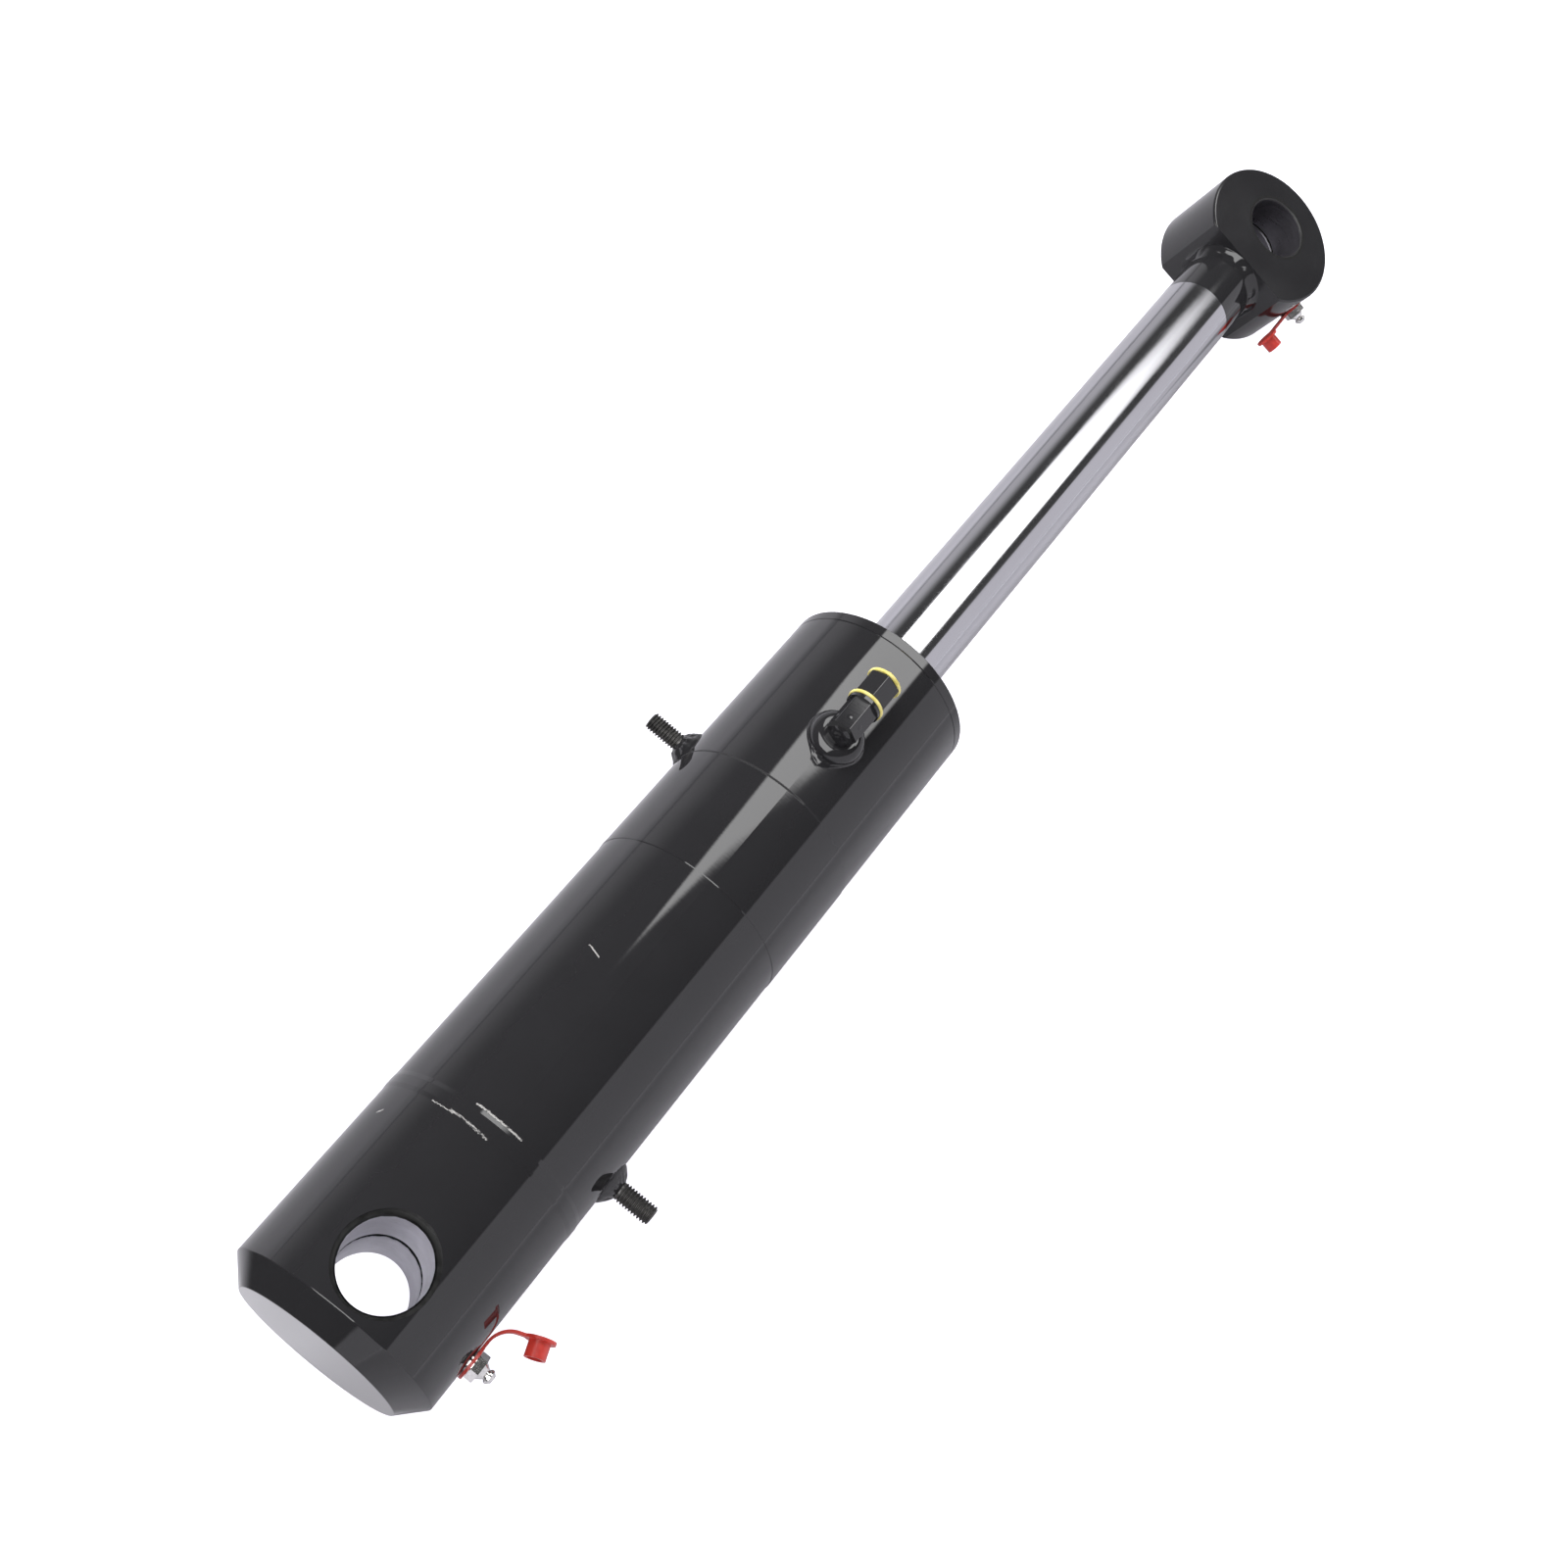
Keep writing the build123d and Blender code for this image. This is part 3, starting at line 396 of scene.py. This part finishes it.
# Bushes: painted shade darkens the gap between them, and their ends carry the cylinder's paint
BUSHING = bare_metal(
    "bushing_steel", 0.74, 0.95, 0.36, (300.0, 300.0, 2600.0), 4e-6, (0.985, 0.975, 1.04),
    painted=((0.0, 0.0, 1.0), 2.9 * MM, BASE_BUSH_END - PAINTED_END),
)
STEEL = bare_metal("machined_steel", 0.42, 0.6, 0.3, (2200.0, 120.0, 120.0), 4e-6)
THREAD = bare_metal(
    "thread_steel", 0.03, 0.12, 0.34, (900.0, 900.0, 900.0), 6e-6, (1.0, 0.97, 0.94), 0.6
)
ZINC = bare_metal("zinc_plate", 0.55, 0.8, 0.16, (900.0, 900.0, 900.0), 4e-6, (1.0, 0.985, 0.97))
EYE_BUSHING = bare_metal(
    "eye_bushing_steel", 0.075, 0.1, 0.34, (60.0, 60.0, 700.0), 8e-7, (0.99, 0.95, 1.08), 0.7,
    painted=(EYE_AXIS, 0.5 * MM, EYE_HALF_WIDTH - PAINTED_END),
    shade_and_paint_level=0.0145, painted_rough=0.12,
)
RED = plastic("red_plastic", (0.45, 0.03, 0.022), (0.58, 0.048, 0.034), 0.36, 6e-6, 0.15)
YELLOW = plastic("yellow_plastic", (0.66, 0.55, 0.12), (0.86, 0.76, 0.28), 0.38, 5e-6, 0.1)
RUBBER = plastic("nitrile_rubber", (0.012, 0.012, 0.012), (0.022, 0.022, 0.021), 0.55, 8e-6)
POLYURETHANE = plastic("polyurethane", (0.03, 0.04, 0.07), (0.05, 0.065, 0.11), 0.42, 5e-6, 0.1)
GUIDE = plastic("filled_nylon", (0.12, 0.075, 0.05), (0.2, 0.13, 0.085), 0.5, 8e-6)

FINISHES = {
    "base_cap": PAINT_SCRAPED,
    "barrel_tube": PAINT_SCRAPED,
    "base_weld": PAINT_SCRAPED,
    "rod": CHROME,
    "base_bush_upper": BUSHING,
    "base_bush_lower": BUSHING,
    "eye_bush_upper": EYE_BUSHING,
    "eye_bush_lower": EYE_BUSHING,
    "rod_eye": PAINT_DULL,
    "piston": STEEL,
    "piston_nut": STEEL,
    "stud_rod_end": THREAD,
    "stud_base_end": THREAD,
    "base_grease_fitting": ZINC,
    "eye_grease_fitting": ZINC,
    "base_grease_cap": RED,
    "eye_grease_cap": RED,
    "port_seal_ring": YELLOW,
    "port_plug": YELLOW,
    "base_port_seal": YELLOW,
    "gland_o_ring": RUBBER,
    "piston_o_ring": RUBBER,
    "rod_wiper": POLYURETHANE,
    "rod_seal": POLYURETHANE,
    "piston_seal": POLYURETHANE,
    "rod_guide_ring": GUIDE,
    "piston_guide_rear": GUIDE,
    "piston_guide_front": GUIDE,
    "gland_backup_ring": GUIDE,
}


def dress(piece, finish):
    if not piece.material_slots:
        piece.data.materials.append(finish)
    for one in piece.material_slots:
        one.material = finish


for node_name, node_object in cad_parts.items():
    dress(node_object, FINISHES.get(node_name, PAINT))


# ---------------------------------------------------------------- detailed pieces


def ring_mesh(name, rings, finish, body, node, close_ends=False):
    """Smooth mesh through closed rings of points, which takes the node's place."""
    count = len(rings[0])
    points = [p for ring in rings for p in ring]
    faces = []
    for i in range(len(rings) - 1):
        below, above = i * count, (i + 1) * count
        for j in range(count):
            k = (j + 1) % count
            faces.append((below + j, below + k, above + k, above + j))
    if close_ends:
        faces.append(tuple(reversed(range(count))))
        faces.append(tuple(range(len(points) - count, len(points))))
    mesh = bpy.data.meshes.new(name)
    mesh.from_pydata(points, [], faces)
    mesh.update()
    for polygon in mesh.polygons:
        polygon.use_smooth = len(polygon.vertices) == 4
    piece = bpy.data.objects.new(name, mesh)
    bpy.context.scene.collection.objects.link(piece)
    piece.data.materials.append(finish)
    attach(piece, body)
    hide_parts(node)


def wobble(*values, seed=0.0):
    """Smooth noise from about -1 to 1 at a point."""
    return noise.noise(Vector(values) + Vector((seed, seed * 0.7, seed * 1.3)))


def directions_across(axis):
    """The two directions across an axis, the first one as near to +X as can be."""
    u = (AXIS_X - axis * AXIS_X.dot(axis)).normalized()
    return u, axis.cross(u)


THREAD_PITCH = 1.5875 * MM
THREAD_DEPTH = 0.6 * THREAD_PITCH
THREAD_RUNOUT = 1.4 * MM
THREAD_TURN_POINTS, THREAD_PITCH_STEPS = 56, 12
# Distances from the cylinder's axis: where a stud's mesh begins, and where its thread does
STUD_FOOT, STUD_THREAD_FROM = 50.2 * MM, 56.2 * MM
STUD_SHANK_R = 4.3 * MM
STUD_END_CHAMFER = 1.05 * MM


def threaded_stud(name, node, side, x, tip):
    """Stud with a real helical thread, rounded roots and a chamfered end."""
    radius = (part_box(node)[1].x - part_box(node)[0].x) / 2
    steps = int((tip - STUD_FOOT) / THREAD_PITCH * THREAD_PITCH_STEPS)
    rings = []
    for i in range(steps + 1):
        h = STUD_FOOT + (tip - STUD_FOOT) * i / steps
        ring = []
        for j in range(THREAD_TURN_POINTS):
            a = 2 * math.pi * j / THREAD_TURN_POINTS
            saw = (h / THREAD_PITCH - a / (2 * math.pi)) % 1.0
            flank = abs(2 * saw - 1)
            cut = smooth(0.12, 0.86, flank)
            r = radius - THREAD_DEPTH * (1 - cut)
            start = smooth(STUD_THREAD_FROM, STUD_THREAD_FROM + THREAD_RUNOUT, h)
            r = STUD_SHANK_R * (1 - start) + r * start
            r = min(r, radius - STUD_END_CHAMFER + (tip - h) * 1.15)
            r += 0.03 * MM * wobble(h * 900, math.cos(a) * 3, math.sin(a) * 3, seed=x * 40)
            ring.append((x + r * math.cos(a), side * h, r * math.sin(a)))
        rings.append(ring if side > 0 else ring[::-1])
    ring_mesh(name, rings, THREAD, "barrel", node, close_ends=True)


# How far a bead's outer edge goes below the barrel's surface, in mm
BEAD_SUNK = 0.4


def bead(name, node, axis, x, *, inner, outer, top, lump, beads, seed, reach=None, ripple=0.35):
    """Weld fillet round something that stands on the barrel, at x along it.

    inner, outer, top and ripple are in mm: its two radii, its height and the height of its
    ripples. beads is their number, and lump how uneven it all is. reach(angle) adds to outer.
    """
    u, v = directions_across(axis)
    around, across = 144, 18
    rings = []
    for i in range(across + 1):
        s = i / across
        ring = []
        for j in range(around):
            a = 2 * math.pi * j / around
            ca, sa = math.cos(a), math.sin(a)
            edge = outer * (1 + 0.10 * lump * wobble(ca * 1.7, sa * 1.7, 0.3, seed=seed))
            if reach:
                edge += reach(a)
            r = inner + (edge - inner) * s
            px, pv = r * ca, r * sa
            ground = math.sqrt(max(0.0, (BARREL_R / MM) ** 2 - pv * pv))
            high = top * (1 + 0.18 * lump * wobble(ca * 1.3, sa * 1.3, 2.0, seed=seed))
            h = high * (1 - s ** 1.15) ** 0.9
            belly = math.sin(math.pi * min(1.0, s))
            swing = 1.5 * wobble(ca * 2, sa * 2, 5.0, seed=seed)
            scallop = abs(math.sin(beads * a / 2 + 2.0 * s + swing))
            h += belly * ripple * (scallop - 0.3)
            h += belly * lump * 0.75 * wobble(ca * 3.2 + s, sa * 3.2, s * 2.2, seed=seed + 3)
            h += belly * lump * 0.22 * wobble(px * 0.9, pv * 0.9, s * 4, seed=seed + 7)
            if i == across:
                h = -BEAD_SUNK
            point = u * (px * MM) + v * (pv * MM) + axis * ((ground + h) * MM)
            ring.append((x + point.x, point.y, point.z))
        rings.append(ring)
    ring_mesh(name, rings, PAINT_WELD, "barrel", node)


def torch_runs(a):
    """Runs of weld metal left where the torch stopped, on the sides towards the base and the rod."""
    back = max(0.0, math.cos(a - math.pi)) ** 6
    fore = max(0.0, math.cos(a)) ** 8
    return 1.6 * back + 1.2 * fore


for stud_name, stud_side in (("stud_rod_end", 1), ("stud_base_end", -1)):
    low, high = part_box(stud_name)
    stud_x = (low.x + high.x) / 2
    stud_tip = max(abs(low.y), abs(high.y))
    threaded_stud(stud_name + "_thread", stud_name, stud_side, stud_x, stud_tip)
    if stud_side > 0:
        bead(stud_name + "_bead", stud_name + "_weld", UP_Y, stud_x,
             inner=3.6, outer=9.6, top=5.6, lump=1.5, beads=9, seed=11.0, reach=torch_runs)
    else:
        bead(stud_name + "_bead", stud_name + "_weld", DOWN_Y, stud_x,
             inner=3.6, outer=10.4, top=5.0, lump=0.35, beads=15, seed=4.0)

boss_low, boss_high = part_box("port_boss")
boss_middle = (boss_low + boss_high) / 2
port_out = Vector((0, boss_middle.y, boss_middle.z)).normalized()
PORT_BOSS_R = (boss_high.x - boss_low.x) / 2 / MM


def boss_run(a):
    """A run of weld metal left on the side towards the base."""
    return 3.6 * max(0.0, math.cos(a - math.pi - 0.1)) ** 12


bead("port_boss_bead", "port_boss_weld", port_out, boss_middle.x,
     inner=PORT_BOSS_R - 0.5, outer=PORT_BOSS_R + 1.0, top=1.3, lump=0.5, beads=20, seed=21.0,
     reach=boss_run, ripple=0.12)
base_boss_low, base_boss_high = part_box("base_port_boss")
BASE_BOSS_R = (base_boss_high.x - base_boss_low.x) / 2 / MM
bead("base_port_bead", "base_port_weld", DOWN_Z, (base_boss_low.x + base_boss_high.x) / 2,
     inner=BASE_BOSS_R - 0.6, outer=BASE_BOSS_R + 2.2, top=2.4, lump=0.5, beads=34, seed=31.0)


def eye_bead():
    """Fillet weld between the shank and the eye's flat, with overlapping ripples and a few runs."""
    low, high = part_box("rod_eye_weld")
    flat_x, foot_x = high.x, low.x
    sunk = 0.3 * MM
    shank_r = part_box("rod_shank")[1].z
    outer = (high.z - low.z) / 2
    around, across = 180, 20
    rings = []
    for i in range(across + 1):
        s = i / across
        ring = []
        for j in range(around):
            a = 2 * math.pi * j / around
            ca, sa = math.cos(a), math.sin(a)
            edge = foot_x - 1.4 * MM * wobble(ca * 1.6, sa * 1.6, 0.5, seed=41)
            t = s * math.pi / 2
            px = edge + (flat_x - edge) * math.sin(t) ** 0.9
            r = shank_r + (outer - shank_r) * (1 - math.cos(t)) ** 0.8
            belly = math.sin(math.pi * s)
            scallop = abs(math.sin(6 * a + 1.8 * s + 1.2 * wobble(ca * 2, sa * 2, 1.0, seed=43)))
            bulge = belly * (0.3 * scallop + 0.5 + 1.3 * wobble(ca * 2.4, sa * 2.4, s * 1.2, seed=47))
            r += bulge * 0.8 * MM
            px -= bulge * 0.35 * MM
            if i == 0:
                r = shank_r - sunk
            if i == across:
                px = flat_x + sunk
            ring.append((px, r * sa, r * ca))
        rings.append(ring[::-1])
    ring_mesh("rod_eye_bead", rings, PAINT_WELD, "rod_and_eye", "rod_eye_weld")


eye_bead()

# ---------------------------------------------------------------- floor, light and camera

FLOOR_Z = cad_box[0].z - 0.4 * MM
FLOOR_HALF = 6.0
FLOOR_CORNERS = ((-1, -1), (1, -1), (1, 1), (-1, 1))
floor_mesh = bpy.data.meshes.new("floor")
floor_mesh.from_pydata(
    [(x * FLOOR_HALF, y * FLOOR_HALF, FLOOR_Z) for x, y in FLOOR_CORNERS], [], [(0, 1, 2, 3)]
)
floor = bpy.data.objects.new("floor", floor_mesh)
bpy.context.scene.collection.objects.link(floor)


# Zones of the floor, in metres: where each begins and ends along one axis
PAST_END_X, PAST_END_Y = (-0.09, -0.04), (0.05, 0.08)
FADE_Y = (0.3, 0.85)
UNDER_EYE_X, UNDER_EYE_Y_NEAR, UNDER_EYE_Y_FAR = (0.83, 0.89), (-0.05, -0.01), (-0.32, -0.16)
CARD_X, CARD_Y = (-0.039, -0.036), (0.055, 0.075)
FAR_LEFT_Y, FAR_RIGHT_Y, NEAR_RIGHT_Y = (1.6, 3.4), (-2.6, -0.5), (-0.12, -0.06)


def floor_finish():
    """White paper, bright where it is seen straight on, with dark and bright zones in reflections."""
    made = bpy.data.materials.new("floor")
    made.use_nodes = True
    g = Graph(made.node_tree)
    out = g.node("ShaderNodeOutputMaterial")
    shader = g.node("ShaderNodeBsdfPrincipled")
    g.plug(shader.outputs[0], out.inputs[0])
    seen = g.node("ShaderNodeLightPath").outputs["Is Camera Ray"]
    x, y, _ = g.split(g.here())
    # painted shade, seen only in reflections: dark behind the base, standing for the dark room past
    # the paper's end, darker far to the left, and a painted shadow under the eye
    past_end = g.times(g.step(x, *PAST_END_X, 1.0, 0.0), g.step(y, *PAST_END_Y))
    kept = g.math("SUBTRACT", 1.0, past_end)
    kept = g.times(kept, g.step(y, *FADE_Y, 1.0, 0.55))
    eye_side = g.times(g.step(y, *UNDER_EYE_Y_NEAR, 1.0, 0.0), g.step(y, *UNDER_EYE_Y_FAR))
    painted_eye_shadow = g.times(g.step(x, *UNDER_EYE_X), eye_side)
    kept = g.times(kept, g.math("MULTIPLY_ADD", painted_eye_shadow, -0.7, 1.0))
    kept = g.math("MAXIMUM", seen, kept)
    # a glowing card before the base's flat end, and light from the floor on both sides
    card_side = g.step(g.math("ABSOLUTE", y), *CARD_Y, 1.0, 0.0)
    card = g.times(g.step(x, *CARD_X, 1.0, 0.0), card_side)
    far = g.add(g.step(y, *FAR_LEFT_Y, 0.0, 0.42), g.step(y, *FAR_RIGHT_Y, 0.53, 0.0))
    near = g.step(y, *NEAR_RIGHT_Y, 0.12, 0.0)
    glow = g.math("MAXIMUM", g.times(seen, 0.9), g.add(g.times(card, 0.32), g.add(far, near)))
    paper = g.mix(g.noise(6.0), grey(0.6, LILAC), grey(0.64, LILAC))
    g.plug(g.mix(kept, grey(0.03), paper), shader.inputs["Base Color"])
    shader.inputs["Roughness"].default_value = 0.9
    shader.inputs["Specular IOR Level"].default_value = 0.1
    shader.inputs["Emission Color"].default_value = grey(1.0, LILAC)
    g.plug(g.times(kept, glow), shader.inputs["Emission Strength"])
    return made


floor_mesh.materials.append(floor_finish())


# Edges of the lights by direction: sx and sy are slopes from straight up along X and Y.
# The main softbox's near edge slants; its far part is dimmer.
NEAR_SLANT, NEAR_EDGE = 3.48, (1.75, 1.92)
LEFT_SLANT, LEFT_START, LEFT_MOST = 0.93, -0.05, 0.66
RIGHT_EDGE = (-0.56, -0.47)
DIM_FROM, DIMMED = (0.78, 1.10), 0.24
END_EDGE = (1.115, 1.135)
# The second softbox, behind the camera
SECOND_X, SECOND_X_END = (-1.5, -1.4), (-0.08, -0.02)
SECOND_Y, SECOND_Y_END = (-0.22, -0.16), (0.8, 0.9)
BOX_LEVEL, WALL_LEVEL, ROOM_LEVEL = 5.6, 0.86, 0.09
RIGHT_WALL_SLOPE = 0.84
LEFT_WALL_EDGE, LEFT_WALL_SHARE = (-0.3, 0.34), 0.74


def studio():
    """Dim room with two softboxes overhead and white walls on both long sides, by direction."""
    world = bpy.data.worlds.new("studio")
    world.use_nodes = True
    bpy.context.scene.world = world
    g = Graph(world.node_tree)
    out = g.node("ShaderNodeOutputWorld")
    back = g.node("ShaderNodeBackground")
    g.plug(back.outputs[0], out.inputs[0])
    x, y, z = g.split(g.node("ShaderNodeTexCoord").outputs["Generated"])
    rise = g.math("MAXIMUM", z, 0.02)
    sx = g.math("DIVIDE", x, rise)
    sy = g.math("DIVIDE", y, rise)
    near = g.step(g.add(g.times(sx, NEAR_SLANT), sy), *NEAR_EDGE)
    left_edge = g.math("MINIMUM", g.math("MULTIPLY_ADD", sx, LEFT_SLANT, LEFT_START), LEFT_MOST)
    left = g.step(g.math("SUBTRACT", left_edge, sy), -0.03, 0.03)
    right = g.step(sy, *RIGHT_EDGE)
    far = g.step(sx, *DIM_FROM, 1.0, DIMMED)
    end = g.step(sx, *END_EDGE, 1.0, 0.0)
    above = g.step(z, 0.0, 0.1)
    box = g.times(g.times(g.times(near, left), g.times(right, far)), g.times(end, above))
    # the second softbox shows in reflections only
    path = g.node("ShaderNodeLightPath").outputs
    second = g.times(g.step(sx, *SECOND_X), g.step(sx, *SECOND_X_END, 1.0, 0.0))
    second = g.times(second, g.times(g.step(sy, *SECOND_Y), g.step(sy, *SECOND_Y_END, 1.0, 0.0)))
    second = g.times(g.times(second, above), g.math("SUBTRACT", 1.0, path["Is Diffuse Ray"]))
    box = g.add(box, second)
    # white walls on both sides, up to a line along the cylinder
    right_top = g.step(g.add(z, g.times(y, RIGHT_WALL_SLOPE)), -0.02, 0.02, 1.0, 0.0)
    right_wall = g.times(right_top, g.step(y, -0.02, 0.0, 1.0, 0.0))
    lean = g.math("MINIMUM", g.times(x, 0.7), g.times(x, 2.0))
    climb = g.math("SUBTRACT", g.math("DIVIDE", z, g.math("MAXIMUM", y, 0.02)), lean)
    left_wall = g.times(g.step(climb, *LEFT_WALL_EDGE, 1.0, 0.0), g.step(y, 0.0, 0.02))
    walls = g.math("MAXIMUM", right_wall, g.times(left_wall, LEFT_WALL_SHARE))
    light = g.add(g.math("MULTIPLY_ADD", walls, WALL_LEVEL, ROOM_LEVEL), g.times(box, BOX_LEVEL))
    tint = g.mix(walls, grey(1.0), grey(1.0, LILAC))
    # the backdrop itself is plain white where it is seen straight on
    seen = path["Is Camera Ray"]
    g.plug(g.mix(seen, tint, (1.0, 1.0, 1.0, 1.0)), back.inputs["Color"])
    g.plug(g.math("MAXIMUM", light, seen), back.inputs["Strength"])


studio()

key_data = bpy.data.lights.new("key", "AREA")
key_data.shape = "DISK"
key_data.size = 0.9
key_data.energy = 28.0
key = bpy.data.objects.new("key", key_data)
bpy.context.scene.collection.objects.link(key)
key_at, key_aim = Vector((0.4, 1.3, 0.95)), Vector((0.35, 0.0, 0.0))
key_turn = (key_at - key_aim).to_track_quat("Z", "Y").to_matrix().to_4x4()
key.matrix_world = Matrix.Translation(key_at) @ key_turn
key.visible_glossy = False
key.visible_camera = False

camera_data = bpy.data.cameras.new("camera")
camera = bpy.data.objects.new("camera", camera_data)
bpy.context.scene.collection.objects.link(camera)
camera_data.sensor_width = 36.0
camera_data.lens = 42.34
camera_data.shift_x = -0.0416
camera_data.shift_y = 0.0014
camera_data.clip_start = 0.01
camera_data.clip_end = 20.0
right_dir = Vector((0.55151, -0.77013, 0.32052))
up_dir = Vector((0.66981, 0.63787, 0.38010))
back_dir = Vector((-0.49718, 0.00506, 0.86764))
turn = Matrix((right_dir, up_dir, back_dir)).transposed()
camera.matrix_world = Matrix.Translation(Vector((-0.132676, -0.016367, 0.797984))) @ turn.to_4x4()
bpy.context.scene.camera = camera
bpy.context.scene.view_settings.view_transform = "Standard"
